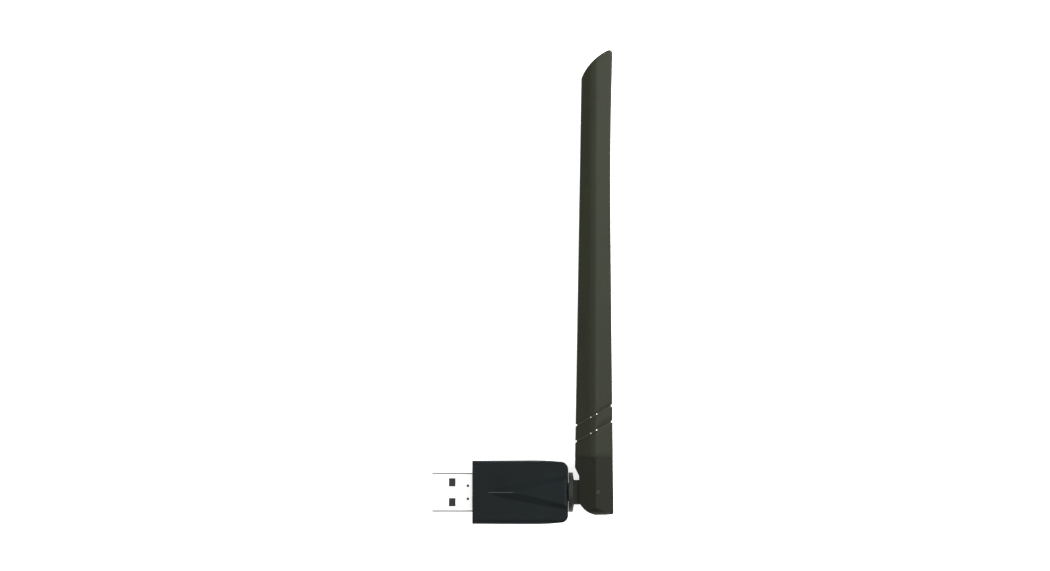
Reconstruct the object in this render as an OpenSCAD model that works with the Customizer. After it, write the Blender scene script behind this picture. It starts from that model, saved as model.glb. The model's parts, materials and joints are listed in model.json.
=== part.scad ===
// USB wireless network adapter with a swivelling, tilting paddle antenna.
// The metal plug points along -X, the antenna along +Y, and the adapter lies flat on the XY plane.
// The origin is the centre of the plug, level with the front face of the housing.

/* [USB plug] */
// Width of the metal plug shell
plug_w = 12.0; // [10:0.1:14.4]
// Height of the metal plug shell
plug_h = 4.5; // [4:0.1:5.4]
// Length of the plug in front of the housing
plug_len = 12.3; // [10:0.1:15]
// Thickness of the sheet metal
sheet_t = 0.3; // [0.25:0.05:0.4]
// Outer corner radius of the plug shell
plug_r = 0.6; // [0.4:0.05:0.8]
// Length of each latch window along the plug
window_l = 2.0; // [1.5:0.1:2.4]
// Width of each latch window
window_w = 2.5; // [2:0.1:2.9]
// Distance from the centre line to each window's centre
window_y = 3.04; // [2.6:0.02:3.6]
// Distance from the housing to the centre of the windows
window_back = 6.15; // [5:0.05:7]
// Diameter of the two pilot holes behind the windows
pilot_d = 0.8; // [0.6:0.1:1.2]
// Distance from the centre line to each pilot hole
pilot_y = 2.0; // [1.5:0.1:2.6]
// Distance from the housing to the pilot holes
pilot_back = 1.38; // [1:0.02:2]
// Thickness of the insulating tongue
tongue_t = 1.95; // [1.7:0.05:2.1]
// Width of each contact blade
contact_w = 1.0; // [0.8:0.1:1.2]
// Thickness of each contact blade
contact_t = 0.2; // [0.15:0.05:0.25]
// Distance from the centre line to the two power contacts
power_y = 3.5; // [3.2:0.1:3.8]
// Distance from the centre line to the two data contacts
data_y = 1.0; // [0.8:0.1:1.2]

/* [Housing] */
// Length of the plastic housing
body_len = 29.3; // [24.4:0.1:35.2]
// Width of the housing at its widest point
body_w = 19.47; // [16.2:0.01:23.4]
// Height of the housing, with its raised spear
body_h = 12.4; // [11:0.1:14.8]
// How far from the front the housing is widest
widest_x = 18.6; // [14:0.1:20]
// How much each side draws in towards the front face
front_taper = 0.115; // [0:0.005:0.5]
// How much each side draws in towards the rear corners
rear_taper = 0.455; // [0:0.005:1]
// Radius of the rear corners, seen from above
corner_r = 2.35; // [1.5:0.05:3]
// Radius along the upper long edges
top_edge_r = 1.6; // [0.8:0.1:1.8]
// Radius along the lower long edges
base_edge_r = 0.9; // [0.4:0.1:1.2]
// Radius across the rear end of the housing
rear_edge_r = 1.2; // [0.6:0.1:1.5]
// Thickness of the side walls, roof and floor
wall = 1.2; // [1:0.05:1.45]
// Thickness of the front and rear walls
end_wall = 1.5; // [1.2:0.05:1.8]
// Height of the raised spear on the roof
spear_h = 0.6; // [0.3:0.05:0.8]
// Where the point of the spear starts
spear_x = 4.8; // [3:0.1:8]
// Length of the sharp keel in front of the spear's flat crest
keel_len = 7.3; // [5:0.1:9]
// Height of the locating lip between the two shells
lip_h = 0.8; // [0.5:0.1:1.2]
// Thickness of the locating lip
lip_t = 0.55; // [0.4:0.05:0.65]
// Diameter of the locating pegs in the upper shell
peg_d = 1.55; // [1.2:0.05:1.8]
// Outer diameter of the bosses that take the pegs
boss_d = 3.0; // [2.6:0.1:3.4]

/* [Swivel] */
// Diameter of the round collar behind the housing
collar_d = 12.1; // [10:0.1:12.3]
// Length of the collar's cylindrical rim
rim_len = 1.27; // [1:0.01:1.6]
// Length of the collar's conical front
cone_len = 0.38; // [0.2:0.01:0.6]
// Radius where the collar's cone ends
cone_r = 3.9; // [3:0.1:4.5]
// How far the retaining flange stands out from the swivel's neck
flange_step = 0.9; // [0.7:0.05:1.1]
// Thickness of the retaining flange
flange_t = 1.25; // [1:0.05:1.5]
// How far the stop lug stands out from the flange
lug_h = 0.55; // [0.4:0.05:0.8]
// Width of the stop lug and of the fixed stop
stop_w = 1.6; // [1.2:0.1:2]
// Thickness of the friction washer
washer_t = 0.3; // [0.2:0.05:0.5]
// Thickness of the bulkhead that holds the flange back
bulkhead_t = 1.15; // [0.9:0.05:1.4]
// Width of the hinge knuckle
tang_w = 7.46; // [6.2:0.02:9]
// Thickness of the hinge knuckle
tang_t = 5.0; // [4.4:0.1:6]
// Width of the slot in the knuckle for the coaxial lead
lead_slot = 1.9; // [1.6:0.1:2.2]
// Chamfer round the knuckle's edges
tang_chamfer = 0.4; // [0.2:0.05:0.6]
// Diameter of the two stub pins of the tilt hinge
pin_d = 1.6; // [1.2:0.1:2]
// How far each pin's outer end lies below the clevis surface
pin_recess = 0.3; // [0.2:0.05:0.5]
// Bend radius of the lead through the tilt hinge
lead_turn_r = 4.8; // [4.6:0.1:5.4]

/* [Antenna] */
// Distance from the tilt axis to the tip
antenna_len = 135.2; // [112.7:0.1:162.2]
// Distance from the tilt axis to the joint between clevis and sheath
joint_y = 10.6; // [9.5:0.1:13]
// Thickness of each clevis ear at the tilt axis
ear_t = 2.6; // [2.1:0.05:3.1]
// Thickness of the clevis wall behind the knuckle
back_wall = 0.89; // [0.7:0.01:1.2]
// Distance from the tilt axis to the plug side of the clevis ears
ear_reach = 5.67; // [5.2:0.01:6.3]
// Distance from the tilt axis to the plug side of the antenna above the notch
base_reach = 6.92; // [6.5:0.01:7.4]
// Height of the lower corner of the notch beside the collar
notch_low = 4.95; // [4:0.05:5.2]
// Height of the upper corner of the notch
notch_high = 7.55; // [7.2:0.05:8.2]
// Radius of the rounded heel
heel_r = 6.85; // [6.5:0.05:7.1]
// How much the plug side leans over along the antenna
lean = 2.14; // [1:0.01:3]
// Distance from the tilt axis to the antenna's waist
waist_y = 92; // [75:1:105]
// How far the far side draws in at the waist
waist = 0.92; // [0.4:0.01:1.3]
// How far the far side flares out again at the tip
flare = 0.67; // [0:0.01:1]
// Thickness of the antenna at its tip
tip_t = 7.0; // [6:0.1:8.4]
// Radius of the slanting cut across the tip
tip_r = 16.9; // [14:0.1:20]
// Thickness of the sheath's wall
sheath_wall = 1.2; // [1:0.05:1.4]
// Distance from the cut's centre line to the tilt axis
tip_arc_x = 10.6; // [8:0.1:12]
// Distance from the highest point of the tip to the tilt axis
tip_peak_x = 3.2; // [2:0.1:3.4]
// Radius of the corner beside the highest point
tip_corner_r = 1.0; // [0.6:0.1:1.4]
// Length of the spigot that holds the sheath
spigot_len = 8; // [6:0.5:10]
// Height of the first decorative groove, on the antenna's centre line
groove_y = 18.7; // [17:0.1:22]
// Distance between the two grooves
groove_pitch = 4.9; // [3.5:0.1:6]
// Width of each groove
groove_w = 0.7; // [0.4:0.05:1]
// Depth of each groove
groove_depth = 0.4; // [0.2:0.05:0.6]
// Slope of the grooves
groove_slope = 29; // [15:1:40]

/* [Electronics] */
// Thickness of the main circuit board
board_t = 1.0; // [0.8:0.1:1.2]
// Outer diameter of the coaxial lead
coax_d = 1.13; // [0.9:0.01:1.3]
// Width and length of the wireless chip
chip_size = 5.0; // [4:0.5:6]
// Height of the wireless chip
chip_h = 0.85; // [0.6:0.05:1]
// Width of the antenna's circuit board
strip_w = 5.6; // [4:0.1:6]
// Thickness of the antenna's circuit board
strip_t = 0.8; // [0.6:0.1:1]
// Thickness of the antenna's copper pattern
copper_t = 0.05; // [0.03:0.01:0.1]

/* [Clearances] */
// Gap between fixed pieces that slot together
fit_gap = 0.05; // [0.03:0.01:0.1]
// Radial and axial running gap of the two hinges
run_gap = 0.05; // [0.02:0.01:0.1]
// Gap between the housing and the collar
collar_gap = 0.1; // [0.05:0.05:0.3]
// Gap on each face of the hinge knuckle
cheek_gap = 0.1; // [0.05:0.01:0.15]
// Gap between the knuckle's round end and the clevis
slot_gap = 0.17; // [0.1:0.01:0.3]
// Gap between the heel and the collar when the antenna is straight
heel_gap = 0.2; // [0.15:0.05:0.5]
// Gap between a lead and the board beside it
lead_gap = 0.035; // [0.02:0.005:0.1]
// Radial gap between a lead and the bore it runs through
lead_bore_gap = 0.3; // [0.2:0.05:0.4]
// Gap between the main board and the side walls
board_gap = 0.6; // [0.4:0.1:0.9]

/* [Hidden] */
$fn = 48;
eps = 0.01;
far = 60;

// Housing heights: the base, the flat roof and the spaces inside
base_z = -body_h / 2;
roof_z = body_h / 2 - spear_h;
floor_z = base_z + wall;
ceiling_z = roof_z - wall;
half_w = body_w / 2;
rear_in = body_len - end_wall;
cavity_half = half_w - max(front_taper, rear_taper) - wall;
min_corner_r = 0.4;
flank_steps = 12;

// Spear: its foot line widens as a power of the distance, its crest opens behind the keel
foot_rate = 0.582;
foot_power = 0.686;
crest_x = spear_x + keel_len;
crest_rate = 0.165;
crest_flare = 0.008;
keel_half = 0.1;
spear_root = 0.5;
spear_steps = 14;

// Swivel: the stop lug, flange and neck step down from the space under the roof
lug_r = ceiling_z - 3 * run_gap;
flange_r = lug_r - lug_h;
neck_r = flange_r - flange_step;
collar_x = body_len + collar_gap;
rim_x = collar_x + rim_len;
collar_front = rim_x + cone_len;
washer_x = rear_in - washer_t;
flange_x1 = washer_x - run_gap;
flange_x0 = flange_x1 - flange_t;
bulkhead_x1 = flange_x0 - run_gap;
bulkhead_x0 = bulkhead_x1 - bulkhead_t;
lead_bore_r = coax_d / 2 + lead_bore_gap;

// Tilt hinge: the heel just clears the collar when the antenna is straight
heel_centre = [0.6, -0.2];
heel_drop = heel_r - heel_centre[1];
pivot_x = collar_front + heel_gap + heel_drop;
tang_r = tang_w / 2;
slot_half = tang_t / 2 + cheek_gap;
slot_top = tang_r + heel_gap;
slot_x = pivot_x - lead_turn_r;
slot_floor = -1.2;
pin_r = pin_d / 2;
pin_inner = lead_slot / 2 + fit_gap;
pin_outer = slot_half + ear_t - pin_recess;

// Antenna section: its thickness, and where the ridges run above the sheath and the clevis
base_t = 2 * (slot_half + ear_t);
far_reach = tang_r + slot_gap + back_wall;
side_share = 0.65;
ridge_x = -0.93;
ridge_half = 1.13;
clevis_ridge_x = -0.56;
clevis_ridge_half = 0.12;
waist_power = 1.2;
sheath_steps = 24;
short_steps = 2;
tip_top = 80;
tip_end = 170;

// Heel of the clevis, seen from above and from the side
heel_start = 205;
heel_corner_r = 0.5;
heel_corner_rise = 0.25;
heel_side_r = 3.4;

// Plug: the cavity, the tongue's face and the places along the plug
cavity_half_w = plug_w / 2 - sheet_t;
cavity_half_h = plug_h / 2 - sheet_t;
tongue_face = cavity_half_h - tongue_t;
tongue_nose = 0.7;
tongue_block_x = 0.9;
tongue_r = 0.3;
contact_proud = 0.05;
contact_low = tongue_face - contact_proud;
contact_high = contact_low + contact_t;
contact_slack = 0.01;
power_nose = 1.4;
data_nose = 2.4;
shell_back = 3.2;
tab_len = 3.8;
tab_low = -2.2;
tab_high = 1.6;
contact_step_x = 4.5;
contact_end_x = 6.6;

// Main board: just under the lead, between the plug and the bulkhead
board_z = -(coax_d / 2 + lead_gap);
board_x0 = 4.2;
board_x1 = bulkhead_x0 - board_gap;
board_half = cavity_half - board_gap;
post_y = cavity_half - boss_d / 2;
post_x = [board_x0 + 6.3, board_x1 - 2.4];
post_gap = 0.2;
peg_len = 3.2;
peg_space = 0.4;
post_split = -0.25;
ledge_t = 0.8;
ledge_y = post_y - (boss_d + ledge_t) / 2 - post_gap;
ledge_ends = [4, 2];
rib_len = 3;
rib_inset = [1.4, 0.6];
stop_top = -flange_r - 2 * run_gap;

// Centres of the parts on the main board
regulator_at = [board_x0 + 4.4, 0];
inductor_at = [board_x0 + 7.2, -1.5];
crystal_at = [board_x0 + 7.5, 1.75];
chip_at = [board_x0 + 11.8, 0];
coax_x0 = board_x1 - 3.4;
diplexer_at = [coax_x0 - 1.6, 0];

// Sizes of the parts on the main board: length, width and height
CRYSTAL_BASE = [3.2, 2.5, 0.5];
CRYSTAL_CAN = [2.8, 2.1, 0.8];
INDUCTOR = [2.5, 2.0, 1.0];
INDUCTOR_CORE = [1.7, 1.7, 1.2];
REGULATOR = [1.6, 2.9, 1.0];
REGULATOR_LEAD = [0.7, 0.4, 0.3];
REGULATOR_PITCH = 0.95;
DIPLEXER = [1.25, 2.0, 0.7];
CAPACITOR = [1.0, 0.5, 0.5];
CAPACITOR_ACROSS = [0.5, 1.0, 0.5];
RESISTOR = [1.0, 0.5, 0.35];
part_pitch = 1.6;
capacitor_offset = [0.9, 1.9, 2.2];
resistor_offset = [-0.4, 3.4];
resistor_rows = [3.2, 4.4];
standoff = 0.1;
pin_mark = [0.7, 0.25, 0.05];

// Solder: the width of a fillet, the joint at the lead's core and the bridge over its braid
fillet = 0.5;
core_joint = [0.7, 0.4];
braid_joint = [1.2, 0.9];
braid_gap = 0.6;

// Antenna board: behind the lead, held in the end of the clevis spigot
strip_x = pivot_x - 0.7;
strip_hold = 2.4;
strip_y0 = joint_y + spigot_len - strip_hold;
strip_y1 = antenna_len - 17;
strip_z1 = board_z - copper_t;
feed_y = strip_y0 + 47;
lead_strip = 1.5;

// Copper pattern: the sleeve arms, the radiators and the meander between them
arm_w = 1.0;
arm_len = 24;
arm_margin = 0.3;
radiator_w = 3.0;
radiator_len = 20;
meander_w = 4.0;
meander_line = 0.6;
meander_pitch = 3.2;
meander_turns = 3;

// ---------- Helpers ----------

function arc(centre, r, a0, a1, steps = 8) =
    [for (i = [0 : steps]) let (a = a0 + (a1 - a0) * i / steps) centre + r * [cos(a), sin(a)]];

function mirrored(points) = [for (i = [len(points) - 1 : -1 : 0]) [points[i][0], -points[i][1]]];

function unit(v) = v / norm(v);

// Moves every edge of a convex, anticlockwise outline inwards by d
function inset_outline(points, d) =
    [for (i = [0 : len(points) - 1])
        let (n = len(points),
             p = points[i],
             u = unit(p - points[(i + n - 1) % n]),
             v = unit(points[(i + 1) % n] - p),
             nu = [-u[1], u[0]],
             nv = [-v[1], v[0]])
        p + d * (nu + nv) / (1 + nu * nv)];

// A solid through rings with the same number of points, anticlockwise seen from before the first ring
module loft(rings) {
    n = len(rings[0]);
    m = len(rings);
    points = [for (ring = rings) for (p = ring) p];
    lower = [for (j = [0 : m - 2]) for (i = [0 : n - 1])
        [j * n + i, j * n + (i + 1) % n, (j + 1) * n + i]];
    upper = [for (j = [0 : m - 2]) for (i = [0 : n - 1])
        [j * n + (i + 1) % n, (j + 1) * n + (i + 1) % n, (j + 1) * n + i]];
    first = [for (i = [1 : n - 2]) [0, i + 1, i]];
    last = [for (i = [1 : n - 2]) (m - 1) * n * [1, 1, 1] + [0, i, i + 1]];
    polyhedron(points, concat(lower, upper, first, last));
}

module block(low, high) {
    translate(low)
        cube(high - low);
}

module x_rod(x0, x1, r) {
    translate([x0, 0, 0])
        rotate([0, 90, 0])
            cylinder(h = x1 - x0, r = r);
}

module y_rod(x, y0, y1, r) {
    translate([x, y0, 0])
        rotate([-90, 0, 0])
            cylinder(h = y1 - y0, r = r);
}

// Extrudes a YZ outline along X
module along_x(x0, x1) {
    translate([x0, 0, 0])
        rotate([90, 0, 90])
            linear_extrude(x1 - x0)
                children();
}

// Extrudes an XZ outline along Y
module along_y(y0, y1) {
    translate([0, y1, 0])
        rotate([90, 0, 0])
            linear_extrude(y1 - y0)
                children();
}

module both_sides() {
    children();
    mirror([0, 1, 0])
        children();
}

// A rounded rectangle, as a tube's section
module rounded(w, h, r) {
    corner = arc([w / 2 - r, h / 2 - r], r, 0, 90);
    left = [for (i = [len(corner) - 1 : -1 : 0]) [-corner[i][0], corner[i][1]]];
    polygon(concat(corner, left, mirrored(concat(corner, left))));
}

// ---------- Housing ----------

function side_y(x) = x < widest_x
    ? half_w - front_taper * (1 - x / widest_x)
    : half_w - rear_taper * pow((x - widest_x) / (body_len - corner_r - widest_x), 2);

function body_outline(side, end) =
    let (r = max(corner_r - end, min_corner_r),
         bend_x = body_len - end - r,
         flank = [for (i = [0 : flank_steps])
             let (x = end + (bend_x - end) * i / flank_steps)
             [x, side_y(x) - side]],
         turn = arc([bend_x, side_y(bend_x) - side - r], r, 90, 0),
         upper = concat(flank, [for (i = [1 : len(turn) - 1]) turn[i]]))
    concat(mirrored(upper), upper);

function foot_y(x) = max(foot_rate * pow(max(x - spear_x, 0), foot_power), 2 * keel_half);

function crest_y(x) = let (d = max(x - crest_x, 0)) keel_half + crest_rate * d + crest_flare * d * d / 2;

function crest_z(x) = roof_z + spear_h * min((x - spear_x) / keel_len, 1);

module spear() {
    length = body_len + 1 - spear_x;
    loft([for (i = [0 : spear_steps])
        let (x = spear_x + length * i / spear_steps, f = foot_y(x), c = crest_y(x), z = crest_z(x))
        [[x, -f, roof_z], [x, -c, z + eps], [x, c, z + eps], [x, f, roof_z],
         [x, f, roof_z - spear_root], [x, -f, roof_z - spear_root]]]);
}

module body_section() {
    upper = arc([half_w - top_edge_r, roof_z - top_edge_r], top_edge_r, 0, 90);
    lower = arc([half_w - base_edge_r, base_z + base_edge_r], base_edge_r, -90, 0);
    right = concat(lower, upper);
    left = [for (i = [len(right) - 1 : -1 : 0]) [-right[i][0], right[i][1]]];
    polygon(concat(right, left));
}

module body_profile() {
    top = arc([body_len - rear_edge_r, -base_z - rear_edge_r], rear_edge_r, 90, 0);
    bottom = arc([body_len - rear_edge_r, base_z + rear_edge_r], rear_edge_r, 0, -90);
    polygon(concat([[0, base_z], [0, -base_z + 1]], [[body_len - rear_edge_r, -base_z + 1]], top, bottom));
}

module body_form() {
    intersection() {
        union() {
            intersection() {
                translate([0, 0, base_z])
                    linear_extrude(body_h)
                        polygon(body_outline(0, 0));
                along_x(0, body_len)
                    body_section();
            }
            spear();
        }
        along_y(-far, far)
            body_profile();
    }
}

module body_cavity() {
    translate([0, 0, floor_z])
        linear_extrude(ceiling_z - floor_z)
            polygon(body_outline(wall, end_wall));
}

module plug_opening() {
    along_x(-1, end_wall + 1)
        rounded(plug_w + 2 * fit_gap, plug_h + 2 * fit_gap, plug_r + fit_gap);
}

module neck_opening() {
    x_rod(rear_in - 1, body_len + 1, neck_r + run_gap);
}

// The band inside the wall that the locating lip fills, grown by a gap on its outer side
module lip_band(gap) {
    inner = wall - lip_t - gap;
    difference() {
        translate([0, 0, -lip_h - gap])
            linear_extrude(lip_h + gap)
                polygon(body_outline(inner, end_wall - lip_t - gap));
        translate([0, 0, -lip_h - gap - 1])
            linear_extrude(lip_h + gap + 2)
                polygon(body_outline(wall, end_wall));
    }
}

// The wall across the housing that keeps the swivel's flange in place
module bulkhead(z0, z1) {
    difference() {
        block([bulkhead_x0, -cavity_half - wall / 2, z0], [bulkhead_x1, cavity_half + wall / 2, z1]);
        x_rod(bulkhead_x0 - 1, bulkhead_x1 + 1, lead_bore_r);
    }
}

module at_posts() {
    both_sides()
        for (x = post_x)
            translate([x, post_y, 0])
                children();
}

module upper_housing() {
    color("#24292b") {
        difference() {
            union() {
                difference() {
                    body_form();
                    body_cavity();
                    block([-1, -far, base_z - 1], [far, far, 0]);
                }
                intersection() {
                    bulkhead(0, ceiling_z + eps);
                    body_form();
                }
                lip_band(0);
            }
            plug_opening();
            neck_opening();
        }
        at_posts() {
            translate([0, 0, post_split])
                cylinder(h = ceiling_z - post_split + eps, d = boss_d);
            translate([0, 0, -peg_len])
                cylinder(h = peg_len, d = peg_d);
        }
        both_sides()
            block([chip_at[0] - rib_len / 2, board_half - rib_inset[0], board_z],
                  [chip_at[0] + rib_len / 2, board_half - rib_inset[1], ceiling_z + eps]);
    }
}

module lower_housing() {
    color("#24292b") {
        difference() {
            union() {
                difference() {
                    body_form();
                    body_cavity();
                    block([-1, -far, 0], [far, far, -base_z + 1]);
                }
                intersection() {
                    bulkhead(floor_z - eps, 0);
                    body_form();
                }
            }
            lip_band(fit_gap);
            plug_opening();
            neck_opening();
        }
        block([bulkhead_x1 - eps, -stop_w / 2, floor_z - eps], [rear_in + eps, stop_w / 2, stop_top]);
        at_posts()
            translate([0, 0, floor_z - eps])
                difference() {
                    cylinder(h = post_split - floor_z + eps, d = boss_d);
                    translate([0, 0, -floor_z - peg_len - peg_space])
                        cylinder(h = -floor_z, d = peg_d + fit_gap);
                }
        both_sides()
            block([board_x0 + ledge_ends[0], ledge_y - ledge_t / 2, floor_z - eps],
                  [board_x1 - ledge_ends[1], ledge_y + ledge_t / 2, board_z - board_t]);
    }
}

// ---------- Plug ----------

module shell_tube() {
    difference() {
        along_x(-plug_len, shell_back)
            rounded(plug_w, plug_h, plug_r);
        along_x(-plug_len - 1, shell_back + 1)
            rounded(plug_w - 2 * sheet_t, plug_h - 2 * sheet_t, plug_r - sheet_t);
    }
}

module usb_shell() {
    color("#d9dadc") {
        difference() {
            shell_tube();
            both_sides() {
                block([-window_back - window_l / 2, window_y - window_w / 2, -plug_h],
                      [-window_back + window_l / 2, window_y + window_w / 2, plug_h]);
                translate([-pilot_back, pilot_y, 0])
                    cylinder(h = plug_h, d = pilot_d);
            }
        }
        both_sides()
            block([shell_back - eps, cavity_half_w, tab_low], [shell_back + tab_len, plug_w / 2, tab_high]);
    }
}

module contact_slots(grow) {
    for (y = [-power_y, -data_y, data_y, power_y])
        block([-plug_len, y - contact_w / 2 - grow, contact_low - grow],
              [shell_back + 1, y + contact_w / 2 + grow, contact_high + grow]);
}

module usb_tongue() {
    color("#1b1b1d")
        difference() {
            along_x(-plug_len + tongue_nose, shell_back)
                rounded(2 * (cavity_half_w - fit_gap), 2 * (cavity_half_h - fit_gap), tongue_r);
            block([-plug_len, -plug_w, -plug_h], [tongue_block_x, plug_w, tongue_face]);
            contact_slots(contact_slack);
        }
}

// One blade: under the tongue, through the block, and stepped down to the board
module contact(y, nose) {
    step = contact_step_x;
    translate([0, y, 0])
        along_y(-contact_w / 2, contact_w / 2)
            polygon([[-plug_len + nose, contact_low], [step, contact_low], [step, board_z],
                     [contact_end_x, board_z], [contact_end_x, board_z + contact_t],
                     [step + contact_t, board_z + contact_t], [step + contact_t, contact_high],
                     [-plug_len + nose, contact_high]]);
}

module contact_vbus() {
    color("#d6b15a")
        contact(power_y, power_nose);
}

module contact_data_minus() {
    color("#d6b15a")
        contact(data_y, data_nose);
}

module contact_data_plus() {
    color("#d6b15a")
        contact(-data_y, data_nose);
}

module contact_ground() {
    color("#d6b15a")
        contact(-power_y, power_nose);
}

// ---------- Main board ----------

module tab_slot() {
    block([board_x0 - 1, cavity_half_w - fit_gap, board_z - 2 * board_t],
          [shell_back + tab_len + fit_gap, plug_w / 2 + fit_gap, 1]);
}

module main_pcb() {
    color("#1f5a3a")
        difference() {
            block([board_x0, -board_half, board_z - board_t], [board_x1, board_half, board_z]);
            both_sides()
                tab_slot();
            at_posts()
                translate([0, 0, -far / 2])
                    cylinder(h = far, d = boss_d + 2 * post_gap);
        }
}

// A part that sits on the board, centred at a place
module on_board(place, size) {
    translate([place[0] - size[0] / 2, place[1] - size[1] / 2, board_z])
        cube(size);
}

module wifi_chip() {
    corner = chip_size / 2 - pin_mark[0];
    color("#1d1f21")
        difference() {
            on_board(chip_at, [chip_size, chip_size, chip_h]);
            translate([chip_at[0] - corner, corner, board_z + chip_h - pin_mark[2]])
                cylinder(h = 1, r = pin_mark[1]);
        }
}

module crystal() {
    color("#c9c9c5") {
        on_board(crystal_at, CRYSTAL_BASE);
        on_board(crystal_at, CRYSTAL_CAN);
    }
}

module power_inductor() {
    color("#4a4744") {
        on_board(inductor_at, INDUCTOR);
        translate([inductor_at[0], inductor_at[1], board_z])
            cylinder(h = INDUCTOR_CORE[2], d = INDUCTOR_CORE[0]);
    }
}

module voltage_regulator() {
    lead_x = (REGULATOR[0] + REGULATOR_LEAD[0]) / 2 - standoff;
    color("#232324") {
        translate([0, 0, standoff])
            on_board(regulator_at, REGULATOR);
        for (side = [-1, 1])
            for (row = [-1, 0, 1])
                on_board(regulator_at + [side * lead_x, row * REGULATOR_PITCH], REGULATOR_LEAD);
    }
}

module rf_diplexer() {
    color("#e6e1d4")
        on_board(diplexer_at, DIPLEXER);
}

module ceramic_capacitors() {
    color("#b79a72")
        both_sides() {
            for (i = [-1, 0, 1])
                on_board(chip_at + [i * part_pitch, chip_size / 2 + capacitor_offset[0]], CAPACITOR_ACROSS);
            on_board(diplexer_at + [0, capacitor_offset[1]], CAPACITOR);
            on_board(regulator_at + [0, capacitor_offset[2]], CAPACITOR);
        }
}

module resistors() {
    color("#2a2a2e")
        both_sides() {
            on_board(regulator_at + resistor_offset, RESISTOR);
            for (row = resistor_rows)
                on_board(diplexer_at + [0, row], RESISTOR);
        }
}

module board_solder() {
    color("#c4c6c8") {
        for (y = [-power_y, -data_y, data_y, power_y])
            translate([contact_end_x, y, board_z])
                along_y(-contact_w / 2, contact_w / 2)
                    polygon([[0, 0], [fillet, 0], [0, contact_t]]);
        both_sides()
            translate([0, cavity_half_w, board_z])
                along_x(board_x0 + fillet, shell_back + tab_len - fillet)
                    polygon([[-fillet, 0], [0, 0], [0, fillet]]);
        difference() {
            union() {
                block([coax_x0 - core_joint[0], -core_joint[1], board_z], [coax_x0, core_joint[1], 0]);
                block([coax_x0 + braid_gap, -braid_joint[1], board_z],
                      [coax_x0 + braid_gap + braid_joint[0], braid_joint[1], -coax_d / 8]);
            }
            x_rod(coax_x0, coax_x0 + far, coax_d / 2);
        }
    }
}

module coax_body() {
    color("#2c2c2e")
        x_rod(coax_x0, flange_x0, coax_d / 2);
}

// ---------- Swivel ----------

module friction_washer() {
    color("#c8c2b0")
        difference() {
            x_rod(washer_x, rear_in, flange_r);
            x_rod(washer_x - 1, rear_in + 1, neck_r + 2 * run_gap);
        }
}

module tang_section() {
    c = tang_chamfer;
    w = tang_r;
    t = tang_t / 2;
    polygon([[w, -t + c], [w, t - c], [w - c, t], [-w + c, t],
             [-w, t - c], [-w, -t + c], [-w + c, -t], [w - c, -t]]);
}

module tang_end() {
    c = tang_chamfer;
    w = tang_r;
    t = tang_t / 2;
    translate([pivot_x, 0, 0])
        rotate_extrude()
            polygon([[0, -t], [w - c, -t], [w, -t + c], [w, t - c], [w - c, t], [0, t]]);
}

module swivel_base() {
    color("#2d2e29")
        difference() {
            union() {
                x_rod(collar_x, rim_x, collar_d / 2);
                translate([rim_x, 0, 0])
                    rotate([0, 90, 0])
                        cylinder(h = cone_len, r1 = collar_d / 2, r2 = cone_r);
                x_rod(flange_x0, collar_x + eps, neck_r);
                x_rod(flange_x0, flange_x1, flange_r);
                block([flange_x0, -stop_w / 2, 0], [flange_x1, stop_w / 2, lug_r]);
                along_x(rim_x, pivot_x)
                    tang_section();
                tang_end();
            }
            x_rod(flange_x0 - 1, slot_x + eps, lead_bore_r);
            block([slot_x, slot_floor, -lead_slot / 2], [pivot_x + tang_w, tang_w, lead_slot / 2]);
            translate([pivot_x, 0, -tang_t])
                cylinder(h = 2 * tang_t, r = pin_r + run_gap);
        }
}

module coax_swivel() {
    color("#2c2c2e")
        x_rod(flange_x0, slot_x, coax_d / 2);
}

// The lead's quarter turn through the tilt hinge
module coax_flex() {
    color("#2c2c2e")
        translate([slot_x, lead_turn_r, 0])
            rotate([0, 0, -90])
                rotate_extrude(angle = 90)
                    translate([lead_turn_r, 0])
                        circle(d = coax_d);
}

// ---------- Antenna ----------

function near_x(y) = pivot_x - base_reach + lean * (y - notch_high) / (antenna_len - notch_high);

function far_x(y) = pivot_x + far_reach + (y < waist_y
    ? -waist * (1 - pow(max(waist_y - y, 0) / waist_y, waist_power))
    : -waist + flare * pow((y - waist_y) / (antenna_len - waist_y), 2));

function half_t(y) = (base_t + (tip_t - base_t) * max(y, 0) / antenna_len) / 2;

// Eight-sided section at height y: two upright sides and a shallow ridge above and below
function section(y, centre, half) =
    let (t = half_t(y), s = t * side_share, a = near_x(y), b = far_x(y), m = pivot_x + centre)
    [[b, -s], [b, s], [m + half, t], [m - half, t], [a, s], [a, -s], [m - half, -t], [m + half, -t]];

module antenna_form(y0, y1, inset, centre, half, steps) {
    loft([for (i = [0 : steps])
        let (y = y0 + (y1 - y0) * i / steps)
        [for (p = inset_outline(section(y, centre, half), inset)) [p[0], y, p[1]]]]);
}

// Everything below the slanting cut across the tip
module below_tip(inset) {
    centre = [pivot_x + tip_arc_x, antenna_len - sqrt(pow(tip_r, 2) - pow(tip_arc_x - tip_peak_x, 2))];
    peak_angle = acos((tip_peak_x - tip_arc_x) / tip_r);
    side = far_x(antenna_len);
    corner = [side - tip_corner_r, antenna_len - tip_corner_r];
    translate([0, 0, -far / 2])
        linear_extrude(far)
            polygon(concat(
                [[side + 1, 0], [side + 1, corner[1] - tip_corner_r]],
                arc(corner, tip_corner_r - inset / 2, 0, tip_top),
                arc(centre, tip_r - inset, peak_angle, tip_end, 2 * sheath_steps / 3),
                [[pivot_x - far, centre[1]], [pivot_x - far, 0]]));
}

module sheath_form(inset) {
    intersection() {
        antenna_form(joint_y, antenna_len + 1, inset, ridge_x, ridge_half, sheath_steps);
        below_tip(inset);
    }
}

// A slanting band right round the antenna
module groove_band(y) {
    translate([pivot_x + ridge_x, y, 0])
        rotate([0, 0, groove_slope])
            cube([far / 2, groove_w, far / 2], center = true);
}

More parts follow.
